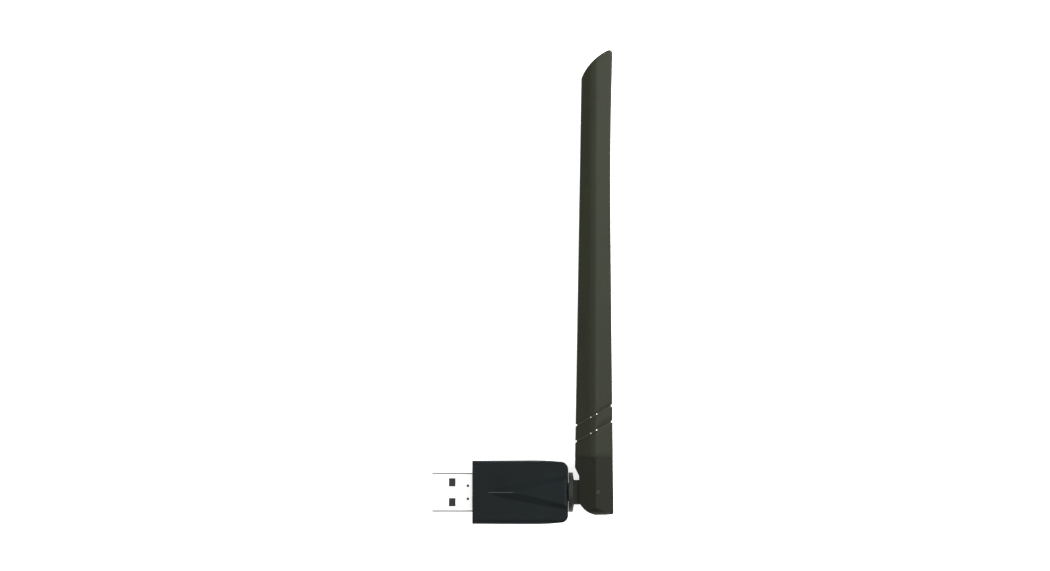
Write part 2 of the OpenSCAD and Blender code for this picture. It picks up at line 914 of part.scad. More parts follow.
module grooves() {
    difference() {
        for (i = [0, 1])
            groove_band(groove_y + i * groove_pitch);
        antenna_form(joint_y, groove_y + 4 * groove_pitch, groove_depth, ridge_x, ridge_half, short_steps);
    }
}

module antenna_sheath() {
    color("#3e4038")
        difference() {
            sheath_form(0);
            grooves();
            translate([0, -eps, 0])
                sheath_form(sheath_wall);
        }
}

// Outline of the clevis from above: rounded heel, ear edge and collar notch
module heel_outline() {
    corner = [far_reach - heel_corner_r, heel_corner_rise + heel_corner_r - heel_drop];
    translate([pivot_x, 0, 0])
        polygon(concat(
            [[far_reach + 1, far], [-base_reach - 2, far], [-base_reach - 2, notch_high],
             [-base_reach, notch_high], [-ear_reach, notch_low]],
            arc(heel_centre, heel_r, heel_start, 270, 12),
            arc(corner, heel_corner_r, -80, 0, 5),
            [[far_reach + 1, corner[1]]]));
}

// Side profile of the clevis: the ears thin towards the bottom of the heel
module heel_profile() {
    full = base_t / 2 + 1;
    low = arc([heel_side_r - heel_drop, base_t / 2 - heel_side_r], heel_side_r, 180, 90);
    upper = concat(low, [[0, base_t / 2], [1, full], [far, full]]);
    polygon(concat(upper, mirrored(upper)));
}

module clevis_form() {
    intersection() {
        union() {
            antenna_form(-heel_drop - 1, joint_y, 0, clevis_ridge_x, clevis_ridge_half, short_steps);
            antenna_form(joint_y - 1, joint_y + spigot_len, sheath_wall + fit_gap,
                         ridge_x, ridge_half, short_steps);
        }
        translate([0, 0, -far / 2])
            linear_extrude(far)
                heel_outline();
        along_x(0, far)
            heel_profile();
    }
}

module antenna_clevis() {
    color("#35372f")
        difference() {
            clevis_form();
            block([0, -far, -slot_half], [pivot_x + tang_r + slot_gap, slot_top, slot_half]);
            translate([pivot_x, 0, -far / 2])
                cylinder(h = far, r = pin_r);
            y_rod(pivot_x, slot_top - 1, joint_y + spigot_len + 1, lead_bore_r);
            block([strip_x - strip_w / 2 - fit_gap, strip_y0 - fit_gap, strip_z1 - strip_t - fit_gap],
                  [strip_x + strip_w / 2 + fit_gap, joint_y + spigot_len + 1, 0]);
        }
}

module hinge_pin(side) {
    color("#4a4b46")
        translate([pivot_x, 0, side > 0 ? pin_inner : -pin_outer])
            cylinder(h = pin_outer - pin_inner, r = pin_r);
}

module hinge_pin_front() {
    hinge_pin(1);
}

module hinge_pin_back() {
    hinge_pin(-1);
}

module antenna_pcb() {
    color("#8f9a55")
        block([strip_x - strip_w / 2, strip_y0, strip_z1 - strip_t],
              [strip_x + strip_w / 2, strip_y1, strip_z1]);
}

// A centred bar of the copper pattern, from one height to another
module bar(width, y0, y1) {
    translate([-width / 2, y0])
        square([width, y1 - y0]);
}

module sleeve_arms() {
    arm_x = (strip_w - arm_w) / 2 - arm_margin;
    for (side = [-1, 1])
        translate([side * arm_x, 0])
            bar(arm_w, feed_y - arm_len, feed_y);
    bar(2 * arm_x + arm_w, feed_y - arm_w, feed_y);
}

module radiators() {
    start = feed_y + 1;
    meander_y = start + radiator_len;
    end = meander_y + meander_turns * meander_pitch;
    bar(radiator_w, start, meander_y);
    for (i = [0 : meander_turns - 1])
        translate([0, meander_y + i * meander_pitch]) {
            bar(meander_w, 0, meander_line);
            translate([(i % 2 == 0 ? 1 : -1) * (meander_w - meander_line) / 2, 0])
                bar(meander_line, 0, meander_pitch + meander_line);
        }
    bar(radiator_w, end, strip_y1 - 1);
}

module antenna_trace() {
    color("#c98b53")
        translate([strip_x, 0, strip_z1])
            linear_extrude(copper_t) {
                sleeve_arms();
                radiators();
            }
}

module coax_antenna() {
    color("#2c2c2e")
        y_rod(pivot_x, lead_turn_r, feed_y - lead_strip, coax_d / 2);
}

module feed_solder() {
    base = strip_z1 + copper_t;
    end = feed_y - lead_strip;
    color("#c4c6c8")
        difference() {
            union() {
                block([pivot_x - core_joint[1], end, base],
                      [pivot_x + core_joint[1], feed_y + lead_strip, -coax_d / 8]);
                block([pivot_x - braid_joint[1], end - braid_gap - braid_joint[0], base],
                      [pivot_x + braid_joint[1], end - braid_gap, -coax_d / 8]);
            }
            y_rod(pivot_x, lead_turn_r, end, coax_d / 2);
        }
}

// ---------- Nodes ----------

upper_housing();
lower_housing();
usb_shell();
usb_tongue();
contact_vbus();
contact_data_minus();
contact_data_plus();
contact_ground();
main_pcb();
wifi_chip();
crystal();
power_inductor();
voltage_regulator();
rf_diplexer();
ceramic_capacitors();
resistors();
board_solder();
coax_body();
friction_washer();
swivel_base();
coax_swivel();
coax_flex();
antenna_clevis();
hinge_pin_front();
hinge_pin_back();
antenna_sheath();
antenna_pcb();
antenna_trace();
coax_antenna();
feed_solder();
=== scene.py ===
"""USB wifi adapter with a swivelling paddle antenna: the finished pieces and materials on the CAD frame."""
import json
import math

import bmesh
import bpy
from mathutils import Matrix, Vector

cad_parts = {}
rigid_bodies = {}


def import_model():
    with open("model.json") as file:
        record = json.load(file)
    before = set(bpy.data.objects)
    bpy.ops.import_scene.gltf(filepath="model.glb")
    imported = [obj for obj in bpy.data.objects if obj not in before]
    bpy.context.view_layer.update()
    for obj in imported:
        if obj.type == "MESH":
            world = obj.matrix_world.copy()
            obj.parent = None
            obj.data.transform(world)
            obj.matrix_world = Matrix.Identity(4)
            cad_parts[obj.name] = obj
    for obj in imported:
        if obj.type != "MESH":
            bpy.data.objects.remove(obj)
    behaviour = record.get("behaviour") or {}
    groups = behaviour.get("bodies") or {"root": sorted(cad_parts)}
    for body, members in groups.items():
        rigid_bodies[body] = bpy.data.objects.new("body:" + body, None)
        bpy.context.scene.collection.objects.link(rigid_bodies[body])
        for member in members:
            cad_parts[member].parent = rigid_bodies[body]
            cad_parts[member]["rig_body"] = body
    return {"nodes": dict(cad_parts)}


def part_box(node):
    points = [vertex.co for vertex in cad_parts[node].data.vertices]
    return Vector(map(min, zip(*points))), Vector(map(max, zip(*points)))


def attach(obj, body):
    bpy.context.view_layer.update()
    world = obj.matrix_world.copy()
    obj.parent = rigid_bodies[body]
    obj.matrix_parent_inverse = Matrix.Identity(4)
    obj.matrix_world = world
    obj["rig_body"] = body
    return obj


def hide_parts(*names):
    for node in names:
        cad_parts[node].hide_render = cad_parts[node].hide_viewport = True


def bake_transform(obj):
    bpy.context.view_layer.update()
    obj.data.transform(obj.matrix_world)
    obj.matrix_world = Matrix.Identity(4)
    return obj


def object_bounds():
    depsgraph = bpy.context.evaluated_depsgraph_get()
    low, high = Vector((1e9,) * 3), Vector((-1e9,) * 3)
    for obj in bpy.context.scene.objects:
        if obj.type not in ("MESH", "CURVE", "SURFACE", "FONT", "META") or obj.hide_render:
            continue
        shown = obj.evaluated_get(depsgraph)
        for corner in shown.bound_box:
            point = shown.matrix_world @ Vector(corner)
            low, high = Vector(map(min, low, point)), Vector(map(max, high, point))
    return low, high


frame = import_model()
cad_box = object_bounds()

MM = 0.001
NODES = frame["nodes"]

# ---------- Materials: helpers ----------

# The edge mask's number of rays, and the agreement of normals where it starts and where it is full
EDGE_SAMPLES = 6
EDGE_START, EDGE_FULL = 0.995, 0.93


def material(name, colour, metallic=0.0, ior_level=0.5, coat=0.0, coat_roughness=0.1, sheen=0.0):
    """A new material; the values that are the same all over are set on the shader's own sockets."""
    made = bpy.data.materials.new(name)
    made.use_nodes = True
    shader = made.node_tree.nodes["Principled BSDF"]
    shader.inputs["Base Color"].default_value = (*colour, 1)
    shader.inputs["Metallic"].default_value = metallic
    shader.inputs["Specular IOR Level"].default_value = ior_level
    shader.inputs["Coat Weight"].default_value = coat
    shader.inputs["Coat Roughness"].default_value = coat_roughness
    shader.inputs["Sheen Weight"].default_value = sheen
    return made, made.node_tree, shader


def noise(tree, size, stretch=(1, 1, 1), detail=3.0, distortion=0.0):
    """Noise on the object's own coordinates, with grains about size metres long."""
    coordinates = tree.nodes.new("ShaderNodeTexCoord")
    mapping = tree.nodes.new("ShaderNodeMapping")
    mapping.inputs["Scale"].default_value = [s / size for s in stretch]
    texture = tree.nodes.new("ShaderNodeTexNoise")
    texture.inputs["Scale"].default_value = 1.0
    texture.inputs["Detail"].default_value = detail
    texture.inputs["Distortion"].default_value = distortion
    tree.links.new(coordinates.outputs["Object"], mapping.inputs["Vector"])
    tree.links.new(mapping.outputs["Vector"], texture.inputs["Vector"])
    return texture.outputs["Fac"]


def ranged(tree, value, before, after):
    """value, with the range before turned into the range after and held within it."""
    node = tree.nodes.new("ShaderNodeMapRange")
    node.inputs["From Min"].default_value, node.inputs["From Max"].default_value = before
    node.inputs["To Min"].default_value, node.inputs["To Max"].default_value = after
    tree.links.new(value, node.inputs["Value"])
    return node.outputs["Result"]


def rise(tree, value, low, high):
    """0 where value is at or past low, 1 where it is at or past high. Either may be the larger."""
    return ranged(tree, value, (low, high), (0, 1))


def around(tree, value, middle, spread):
    """A roughness that follows a noise value: the middle, less or plus the spread."""
    return ranged(tree, value, (0.3, 0.7), (middle - spread, middle + spread))


def times(tree, a, b):
    """a multiplied by b."""
    node = tree.nodes.new("ShaderNodeMath")
    node.operation = "MULTIPLY"
    tree.links.new(a, node.inputs[0])
    tree.links.new(b, node.inputs[1])
    return node.outputs["Value"]


def added(tree, a, b, share):
    """a plus a share of b."""
    node = tree.nodes.new("ShaderNodeMath")
    node.operation = "MULTIPLY_ADD"
    tree.links.new(b, node.inputs[0])
    node.inputs[1].default_value = share
    tree.links.new(a, node.inputs[2])
    return node.outputs["Value"]


def mixed(tree, factor, a, b):
    """Colour a where factor is 0 and colour b where it is 1. Each is a colour or a socket."""
    node = tree.nodes.new("ShaderNodeMix")
    node.data_type = "RGBA"
    tree.links.new(factor, node.inputs["Factor"])
    ends = [socket for socket in node.inputs if socket.type == "RGBA"]
    for socket, colour in zip(ends, (a, b)):
        if isinstance(colour, bpy.types.NodeSocket):
            tree.links.new(colour, socket)
        else:
            socket.default_value = (*colour, 1)
    return next(socket for socket in node.outputs if socket.type == "RGBA")


def bump(tree, shader, height, depth):
    """Relief from a 0 to 1 height, depth metres deep."""
    node = tree.nodes.new("ShaderNodeBump")
    node.inputs["Distance"].default_value = depth
    tree.links.new(height, node.inputs["Height"])
    tree.links.new(node.outputs["Normal"], shader.inputs["Normal"])


def edge_mask(tree, width):
    """1 on sharp edges and 0 on open surfaces: where the normal differs from that of a rounded edge."""
    rounded = tree.nodes.new("ShaderNodeBevel")
    rounded.samples = EDGE_SAMPLES
    rounded.inputs["Radius"].default_value = width
    geometry = tree.nodes.new("ShaderNodeNewGeometry")
    dot = tree.nodes.new("ShaderNodeVectorMath")
    dot.operation = "DOT_PRODUCT"
    tree.links.new(rounded.outputs["Normal"], dot.inputs[0])
    tree.links.new(geometry.outputs["Normal"], dot.inputs[1])
    return rise(tree, dot.outputs["Value"], EDGE_START, EDGE_FULL)


def scaled(colour, factor):
    """The colour made lighter or darker."""
    return tuple(min(c * factor, 1.0) for c in colour)


# ---------- Materials ----------


def polish_with_painted_light(tree, shader, rough, mask, roughness, colour, tone):
    """Turns the roughness where mask is 1 into that of a polish, and the colour into the given tone, which is
    painted light.
    """
    node = tree.nodes.new("ShaderNodeMix")
    tree.links.new(mask, node.inputs["Factor"])
    tree.links.new(rough, node.inputs["A"])
    node.inputs["B"].default_value = roughness
    tree.links.new(node.outputs["Result"], shader.inputs["Roughness"])
    tree.links.new(mixed(tree, mask, tone, colour), shader.inputs["Base Color"])


# Shares of the grooves' full depth where their lacquer and painted shade start and are full
GROOVE_START, GROOVE_FULL = 0.15, 0.6


def groove_mask(tree):
    """1 in the grooves, from the depth that the mesh keeps at each point."""
    depth = tree.nodes.new("ShaderNodeAttribute")
    depth.attribute_name = "groove"
    return rise(tree, depth.outputs["Fac"], GROOVE_START, GROOVE_FULL)


def band(tree, value, low, high, soft):
    """1 where value is between low and high, with soft ends."""
    return times(tree, rise(tree, value, low - soft, low), rise(tree, value, high + soft, high))


def keel_highlight_mask(tree):
    """1 along the sharp keel in front of the spear's flat crest, where the housing gets a painted highlight.
    """
    coordinates = tree.nodes.new("ShaderNodeTexCoord")
    parts = tree.nodes.new("ShaderNodeSeparateXYZ")
    tree.links.new(coordinates.outputs["Object"], parts.inputs["Vector"])
    along = band(tree, parts.outputs["X"], KEEL_START, KEEL_END, KEEL_END_FADE)
    across = band(tree, parts.outputs["Y"], -KEEL_HALF, KEEL_HALF, KEEL_SIDE_FADE)
    above = rise(tree, parts.outputs["Z"], ROOF_Z, ROOF_Z + KEEL_RISE)
    return times(tree, times(tree, along, across), above)


# Sizes of a plastic's flow marks and scuffs, the width of its worn edges and the depth of its texture
FLOW_SIZE, SCUFF_SIZE = 14 * MM, 1.6 * MM
WORN_WIDTH, SPARK_DEPTH = 0.22 * MM, 0.012 * MM
LACQUER_ROUGHNESS = 0.07


def moulded_plastic(name, colour, roughness, ior_level=0.3, grain=0.35 * MM, wear=1.8,
                    wear_and_painted_light=None, lacquer=0.0):
    """Moulded plastic: spark texture, flow marks, faint scuffs, lighter edges and, where a mask is given, a
    polish in a painted light tone.
    """
    made, tree, shader = material(name, colour, ior_level=ior_level, coat_roughness=LACQUER_ROUGHNESS)
    flow = noise(tree, FLOW_SIZE, detail=2.0)
    scuff = noise(tree, SCUFF_SIZE, stretch=(1, 0.25, 1), detail=6.0, distortion=1.5)
    fine = noise(tree, grain, detail=2.0)
    mottle = rise(tree, added(tree, flow, fine, 0.4), 0.5, 0.9)
    tone = mixed(tree, mottle, scaled(colour, 0.85), scaled(colour, 1.15))
    worn = times(tree, edge_mask(tree, WORN_WIDTH), ranged(tree, scuff, (0.35, 0.6), (0.25, 1)))
    tone = mixed(tree, worn, tone, scaled(colour, wear))
    rough = added(tree, around(tree, flow, roughness, 0.05), scuff, 0.06)
    if wear_and_painted_light:
        # Where the mask is 1 the colour is painted light: a painted highlight on the housing's keel, painted
        # shade in the antenna's grooves
        where, smooth, painted_light_tone = wear_and_painted_light
        mask = where(tree)
        polish_with_painted_light(tree, shader, rough, mask, smooth, painted_light_tone, tone)
        if lacquer:
            tree.links.new(ranged(tree, mask, (0, 1), (0, lacquer)), shader.inputs["Coat Weight"])
    else:
        tree.links.new(tone, shader.inputs["Base Color"])
        tree.links.new(rough, shader.inputs["Roughness"])
    bump(tree, shader, added(tree, fine, scuff, 0.4), SPARK_DEPTH)
    return made


# How upright a sheet's surface is, from 0 to 1, where the painted shade on a bend starts and ends
BEND_START, BEND_END, BEND_FADE = 0.25, 0.93, 0.05


def bend_shade_mask(tree):
    """1 on the long bent places of a folded sheet, where its surface leans between flat and upright and gets
    painted shade.
    """
    geometry = tree.nodes.new("ShaderNodeNewGeometry")
    parts = tree.nodes.new("ShaderNodeSeparateXYZ")
    tree.links.new(geometry.outputs["Normal"], parts.inputs["Vector"])
    upright = tree.nodes.new("ShaderNodeMath")
    upright.operation = "ABSOLUTE"
    tree.links.new(parts.outputs["Z"], upright.inputs[0])
    return band(tree, upright.outputs["Value"], BEND_START, BEND_END, BEND_FADE)


# Sizes of a metal's clouds and handling marks, and the depth of its lines
CLOUD_SIZE, MARK_SIZE, LINE_DEPTH = 4 * MM, 1.1 * MM, 0.004 * MM


def brushed_metal(name, colour, roughness, stretch=(0.04, 1, 1), grain=0.3 * MM, bend_shade=None):
    """Rolled or plated metal: lines along its length, cloudy tone, handling marks and painted shade where it
    is bent.
    """
    made, tree, shader = material(name, colour, metallic=1.0)
    lines = noise(tree, grain, stretch=stretch, detail=4.0)
    cloud = noise(tree, CLOUD_SIZE, detail=3.0)
    marks = noise(tree, MARK_SIZE, stretch=(0.3, 1, 1), detail=6.0, distortion=2.0)
    tone = mixed(tree, rise(tree, cloud, 0.35, 0.65), scaled(colour, 0.94), colour)
    dulled = ranged(tree, marks, (0.6, 0.72), (0, 0.5))
    tone = mixed(tree, dulled, tone, scaled(colour, 0.82))
    # Painted shade: the colour is darkened where the sheet is bent
    if bend_shade:
        tone = mixed(tree, bend_shade_mask(tree), tone, scaled(colour, bend_shade))
    tree.links.new(tone, shader.inputs["Base Color"])
    rough = added(tree, around(tree, lines, roughness, 0.05), cloud, 0.05)
    tree.links.new(rough, shader.inputs["Roughness"])
    bump(tree, shader, lines, LINE_DEPTH)
    return made


# Sizes of a board's copper areas and glass weave, and its relief
POUR_SIZE, WEAVE_SIZE, BOARD_RELIEF = 2.6 * MM, 0.25 * MM, 0.015 * MM


def board_mask(name, colour, copper, roughness=0.3):
    """Circuit board under solder mask: buried copper areas show through, over a faint glass weave."""
    made, tree, shader = material(name, colour, coat=0.4, coat_roughness=0.15)
    pours = rise(tree, noise(tree, POUR_SIZE, detail=1.0), 0.49, 0.51)
    weave_x = noise(tree, WEAVE_SIZE, stretch=(0.1, 1, 1), detail=1.0)
    weave_y = noise(tree, WEAVE_SIZE, stretch=(1, 0.1, 1), detail=1.0)
    weave = added(tree, weave_x, weave_y, 1.0)
    tone = mixed(tree, rise(tree, weave, 0.7, 1.3), scaled(colour, 0.85), scaled(colour, 1.15))
    tone = mixed(tree, ranged(tree, pours, (0, 1), (0, 0.45)), tone, copper)
    rough = ranged(tree, weave, (0.6, 1.4), (roughness - 0.06, roughness + 0.08))
    tree.links.new(tone, shader.inputs["Base Color"])
    tree.links.new(rough, shader.inputs["Roughness"])
    bump(tree, shader, added(tree, pours, weave, 0.15), BOARD_RELIEF)
    return made


# Sizes of a ceramic's grains and specks, and its relief
GRAIN_SIZE, SPECK_SIZE, GRAIN_DEPTH = 0.12 * MM, 0.22 * MM, 0.008 * MM


def ceramic(name, colour, roughness=0.55):
    """Fired ceramic or moulded epoxy: a fine grain with specks."""
    made, tree, shader = material(name, colour)
    grains = noise(tree, GRAIN_SIZE, detail=4.0)
    specks = ranged(tree, noise(tree, SPECK_SIZE, detail=1.0), (0.62, 0.68), (0, 0.6))
    tone = mixed(tree, rise(tree, grains, 0.3, 0.7), scaled(colour, 0.86), scaled(colour, 1.14))
    tree.links.new(mixed(tree, specks, tone, scaled(colour, 0.6)), shader.inputs["Base Color"])
    tree.links.new(around(tree, grains, roughness, 0.08), shader.inputs["Roughness"])
    bump(tree, shader, grains, GRAIN_DEPTH)
    return made


# Sizes of a lead's drawn lines and rubbed patches, and its relief
DRAWN_SIZE, RUB_SIZE, DRAWN_DEPTH = 0.15 * MM, 1.5 * MM, 0.006 * MM


def soft_jacket(name, colour, roughness=0.5):
    """Extruded lead jacket: fine lines along the extrusion and rubbed, duller patches."""
    made, tree, shader = material(name, colour, ior_level=0.4, sheen=0.1)
    lines = noise(tree, DRAWN_SIZE, stretch=(1, 0.15, 1), detail=3.0)
    wear_and_painted_light = noise(tree, RUB_SIZE, detail=4.0)
    tone = mixed(tree, rise(tree, wear_and_painted_light, 0.4, 0.65), colour, scaled(colour, 1.6))
    tree.links.new(tone, shader.inputs["Base Color"])
    tree.links.new(around(tree, wear_and_painted_light, roughness, 0.1), shader.inputs["Roughness"])
    bump(tree, shader, lines, DRAWN_DEPTH)
    return made


TOOTH_SIZE, FLOOR_GLOW = 2 * MM, 0.75


def pale_floor():
    """A matt white sheet with a barely visible paper tooth, slightly lit as in an over-exposed photograph."""
    made, tree, shader = material("floor_paper", (0.92, 0.92, 0.92), ior_level=0.1)
    shader.inputs["Emission Color"].default_value = (1, 1, 1, 1)
    shader.inputs["Emission Strength"].default_value = FLOOR_GLOW
    tooth = noise(tree, TOOTH_SIZE, detail=4.0)
    tree.links.new(mixed(tree, tooth, (0.91, 0.91, 0.91), (0.93, 0.93, 0.93)), shader.inputs["Base Color"])
    tree.links.new(ranged(tree, tooth, (0.3, 0.7), (0.85, 0.95)), shader.inputs["Roughness"])
    return made


# The height of the roof below its raised spear, and where the spear's keel gets its painted highlight
SPEAR_HEIGHT = 0.6 * MM
ROOF_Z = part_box("upper_housing")[1].z - SPEAR_HEIGHT
KEEL_START, KEEL_END, KEEL_END_FADE = 4.8 * MM, 12.1 * MM, 0.8 * MM
KEEL_HALF, KEEL_SIDE_FADE, KEEL_RISE = 0.06 * MM, 0.1 * MM, 0.03 * MM

MATERIALS = {
    # The housing's keel colour, about ten times its base colour, is a painted highlight
    "housing_plastic": moulded_plastic("housing_plastic", (0.0031, 0.0052, 0.0058), 0.42, ior_level=0.09,
                                       wear_and_painted_light=(keel_highlight_mask, 0.4, (0.035, 0.04, 0.04))),
    # The antenna's grooves take a slightly darker tone, painted shade, under a lacquer
    "antenna_plastic": moulded_plastic("antenna_plastic", (0.0115, 0.0134, 0.0066), 0.46, ior_level=0.12,
                                       wear_and_painted_light=(groove_mask, 0.46, (0.0105, 0.0124, 0.006)), lacquer=0.9),
    # The clevis: the antenna's plastic darkened as painted shade
    "clevis_shaded_plastic": moulded_plastic("clevis_shaded_plastic", (0.0062, 0.0069, 0.0034), 0.46, ior_level=0.1),
    "swivel_plastic": moulded_plastic("swivel_plastic", (0.0135, 0.0145, 0.0108), 0.42, ior_level=0.14),
    # The shell's bent edges are darkened as painted shade
    "nickel_shell": brushed_metal("nickel_shell", (0.92, 0.92, 0.915), 0.27, bend_shade=0.22),
    "insulator": moulded_plastic("insulator", (0.014, 0.014, 0.015), 0.4, ior_level=0.2, grain=0.2 * MM),
    "gold_contact": brushed_metal("gold_contact", (0.9, 0.66, 0.3), 0.22, grain=0.12 * MM),
    "board_green": board_mask("board_green", (0.02, 0.13, 0.055), (0.06, 0.24, 0.1)),
    "chip_epoxy": ceramic("chip_epoxy", (0.022, 0.022, 0.024)),
    "crystal_can": brushed_metal("crystal_can", (0.75, 0.75, 0.72), 0.3, grain=0.2 * MM),
    "ferrite": ceramic("ferrite", (0.075, 0.068, 0.062), 0.6),
    "ceramic_white": ceramic("ceramic_white", (0.76, 0.72, 0.64), 0.4),
    "ceramic_tan": ceramic("ceramic_tan", (0.46, 0.32, 0.19), 0.45),
    "solder": brushed_metal("solder", (0.72, 0.73, 0.74), 0.25, stretch=(1, 1, 1), grain=0.4 * MM),
    "lead_jacket": soft_jacket("lead_jacket", (0.022, 0.022, 0.024)),
    "washer_nylon": ceramic("washer_nylon", (0.02, 0.02, 0.018), 0.5),
    "pin_steel": brushed_metal("pin_steel", (0.034, 0.034, 0.028), 0.42, stretch=(1, 1, 1), grain=0.2 * MM),
    "strip_board": board_mask("strip_board", (0.26, 0.29, 0.1), (0.36, 0.36, 0.16)),
    "copper": brushed_metal("copper", (0.82, 0.44, 0.26), 0.3, grain=0.15 * MM),
}

# ---------- Meshes: helpers ----------

# Points nearer than this are one, and facets that turn less than this many degrees are one flat side
WELD = 0.0005 * MM
FLAT = 0.6
# Edges sharper than this many degrees are creases, and so are shallower ones on the spear
CREASE, SHALLOW_CREASE = 28, 7
EASING_STEPS = 3
FACE_WEIGHT = 80


def place(name, mesh, body, slot_name, *stood_for, look=None):
    """A new piece from a finished mesh: material, slot, body and the nodes that it stands for."""
    piece = bpy.data.objects.new(name, mesh)
    bpy.context.scene.collection.objects.link(piece)
    mesh.materials.clear()
    mesh.materials.append(MATERIALS[look or slot_name])
    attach(piece, body)
    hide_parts(*stood_for)
    return piece


def cleaned_copy(node, flat):
    """The node's solid as a closed mesh, with the faces of each flat side joined into one."""
    bm = bmesh.new()
    bm.from_mesh(NODES[node].data)
    bmesh.ops.remove_doubles(bm, verts=bm.verts, dist=WELD)
    bmesh.ops.dissolve_limit(bm, angle_limit=math.radians(flat), verts=bm.verts, edges=bm.edges)
    mesh = bpy.data.meshes.new("detail_" + node)
    bm.to_mesh(mesh)
    bm.free()
    return mesh


def mark_creases(mesh, angle, shallow=None):
    """Marks the edges sharper than angle, or than the shallow limit where shallow(a, b) is true of them."""
    bm = bmesh.new()
    bm.from_mesh(mesh)
    weight = bm.edges.layers.float.new("bevel_weight_edge")
    for edge in bm.edges:
        ends = [v.co for v in edge.verts]
        limit = SHALLOW_CREASE if shallow and shallow(*ends) else angle
        crease = len(edge.link_faces) == 2 and math.degrees(edge.calc_face_angle()) > limit
        edge[weight] = 1.0 if crease else 0.0
        edge.smooth = not crease
    for face in bm.faces:
        face.smooth = True
    bm.to_mesh(mesh)
    bm.free()


def eased(node, slot_name, width, shallow=None, flat=FLAT, look=None):
    """A piece like the node, with its creases eased to a small radius."""
    mesh = cleaned_copy(node, flat)
    mark_creases(mesh, CREASE, shallow)
    piece = place("detail_" + node, mesh, NODES[node]["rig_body"], slot_name, node, look=look)
    easing = piece.modifiers.new("Eased edges", "BEVEL")
    easing.limit_method = "WEIGHT"
    easing.width = width
    easing.segments = EASING_STEPS
    easing.use_clamp_overlap = True
    shading = piece.modifiers.new("Flat faces stay flat", "WEIGHTED_NORMAL")
    shading.keep_sharp = True
    shading.weight = FACE_WEIGHT


def from_rings(name, rings, caps=(), gaps=()):
    """A mesh through rings with the same number of points, in mm, and extra faces by vertex number.

    No faces follow a ring in gaps.
    """
    count = len(rings[0])
    faces = list(caps)
    for row in sorted(set(range(len(rings) - 1)) - set(gaps)):
        for i in range(count):
            j = (i + 1) % count
            faces.append((row * count + i, row * count + j, (row + 1) * count + j, (row + 1) * count + i))
    mesh = bpy.data.meshes.new(name)
    mesh.from_pydata([Vector(p) * MM for ring in rings for p in ring], [], faces)
    bm = bmesh.new()
    bm.from_mesh(mesh)
    bmesh.ops.recalc_face_normals(bm, faces=bm.faces)
    bm.to_mesh(mesh)
    bm.free()
    mesh.validate()
    return mesh


def inset_outline(points, distance):
    """A convex, anticlockwise outline with every edge moved inwards."""
    moved = []
    for i, p in enumerate(points):
        before = (p - points[i - 1]).normalized()
        after = (points[(i + 1) % len(points)] - p).normalized()
        a, b = Vector((-before.y, before.x)), Vector((-after.y, after.x))
        moved.append(p + distance * (a + b) / (1 + a.dot(b)))
    return moved


def rounded_corner(before, corner, after, radius, steps):
    """The points of an arc that replaces a corner."""
    u, v = (before - corner).normalized(), (after - corner).normalized()
    half = u.angle(v) / 2
    start = corner + u * radius / math.tan(half)
    centre = corner + (u + v).normalized() * radius / math.sin(half)
    arm = start - centre
    turn = math.pi - 2 * half
    side = 1 if (corner - before).cross(after - corner) > 0 else -1
    points = []
    for i in range(steps + 1):
        a = side * turn * i / steps
        points.append(centre + Vector((arm.x * math.cos(a) - arm.y * math.sin(a),
                                       arm.x * math.sin(a) + arm.y * math.cos(a))))
    return points


# ---------- Antenna sheath ----------

# All in mm. The places of the tilt axis and of the sheath's ends
PIN_LOW, PIN_HIGH = (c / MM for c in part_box("hinge_pin_front"))
SHEATH_LOW, SHEATH_HIGH = (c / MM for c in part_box("antenna_sheath"))
PIVOT_X = (PIN_LOW.x + PIN_HIGH.x) / 2
JOINT_Y = SHEATH_LOW.y
TIP_Y = SHEATH_HIGH.y
# The plug side leans in a straight line, and the far side draws in to a waist and flares to the tip
BASE_REACH, LEAN, LEAN_START = 6.92, 2.14, 7.55
FAR_REACH, WAIST, WAIST_Y, WAIST_POWER, FLARE = 4.79, 0.92, 92.0, 1.2, 0.67
# Half the thickness at the ridge, the sides' share of it, and the ridge's place, width and roundings
HALF_AT_PIVOT, HALF_AT_TIP = 5.2, 3.5
SIDE_SHARE = 0.65
RIDGE_X, RIDGE_HALF = -1.2, 0.8
RIDGE_RADIUS, SIDE_RADIUS, LEAST_RADIUS = 3.4, 0.8, 0.3
# How far a side is crowned in the middle, its share of that half-way up, and the steps of each rounding
CROWN, CROWN_SHARE, HALF_WAY = 0.07, 0.6, 0.5
SIDE_STEPS, RIDGE_STEPS = 6, 5
# Where the points lie along the far slope, going up, and along the plug side's slope, going down
FAR_SLOPE, NEAR_SLOPE = (0.1, 0.25, 0.45, 0.7), (0.3, 0.55, 0.75, 0.9)
SHEATH_WALL = 1.2
SHEATH_CREASE = 30
# Heights of the grooves at the ridge, their slope, and their depth by the distance from their centre line
GROOVES = (18.55, 23.45)
GROOVE_SLOPE = math.tan(math.radians(29))
MAX_DEPTH = 0.41
GROOVE_PROFILE = ((-0.42, 0.0), (-0.35, 0.02), (-0.31, 0.08), (-0.25, 0.34), (-0.2, 0.4), (0.0, 0.41),
                  (0.2, 0.4), (0.25, 0.34), (0.31, 0.08), (0.35, 0.02), (0.42, 0.0))
# Outside the grooves: rings as (height, share of the grooves' slope), and at the joint (lift, inset)
JOINT_RINGS = ((0.0, 0.14), (0.04, 0.04), (0.14, 0.0))
LOWER_RINGS = ((12.2, 0.2), (14.0, 0.5), (15.8, 0.8), (17.2, 1.0))
UPPER_RINGS = ((25.5, 1.0), (28, 0.85), (32, 0.6), (37, 0.35), (43, 0.12))
LEVEL_START, LEVEL_STEP = 50, 6
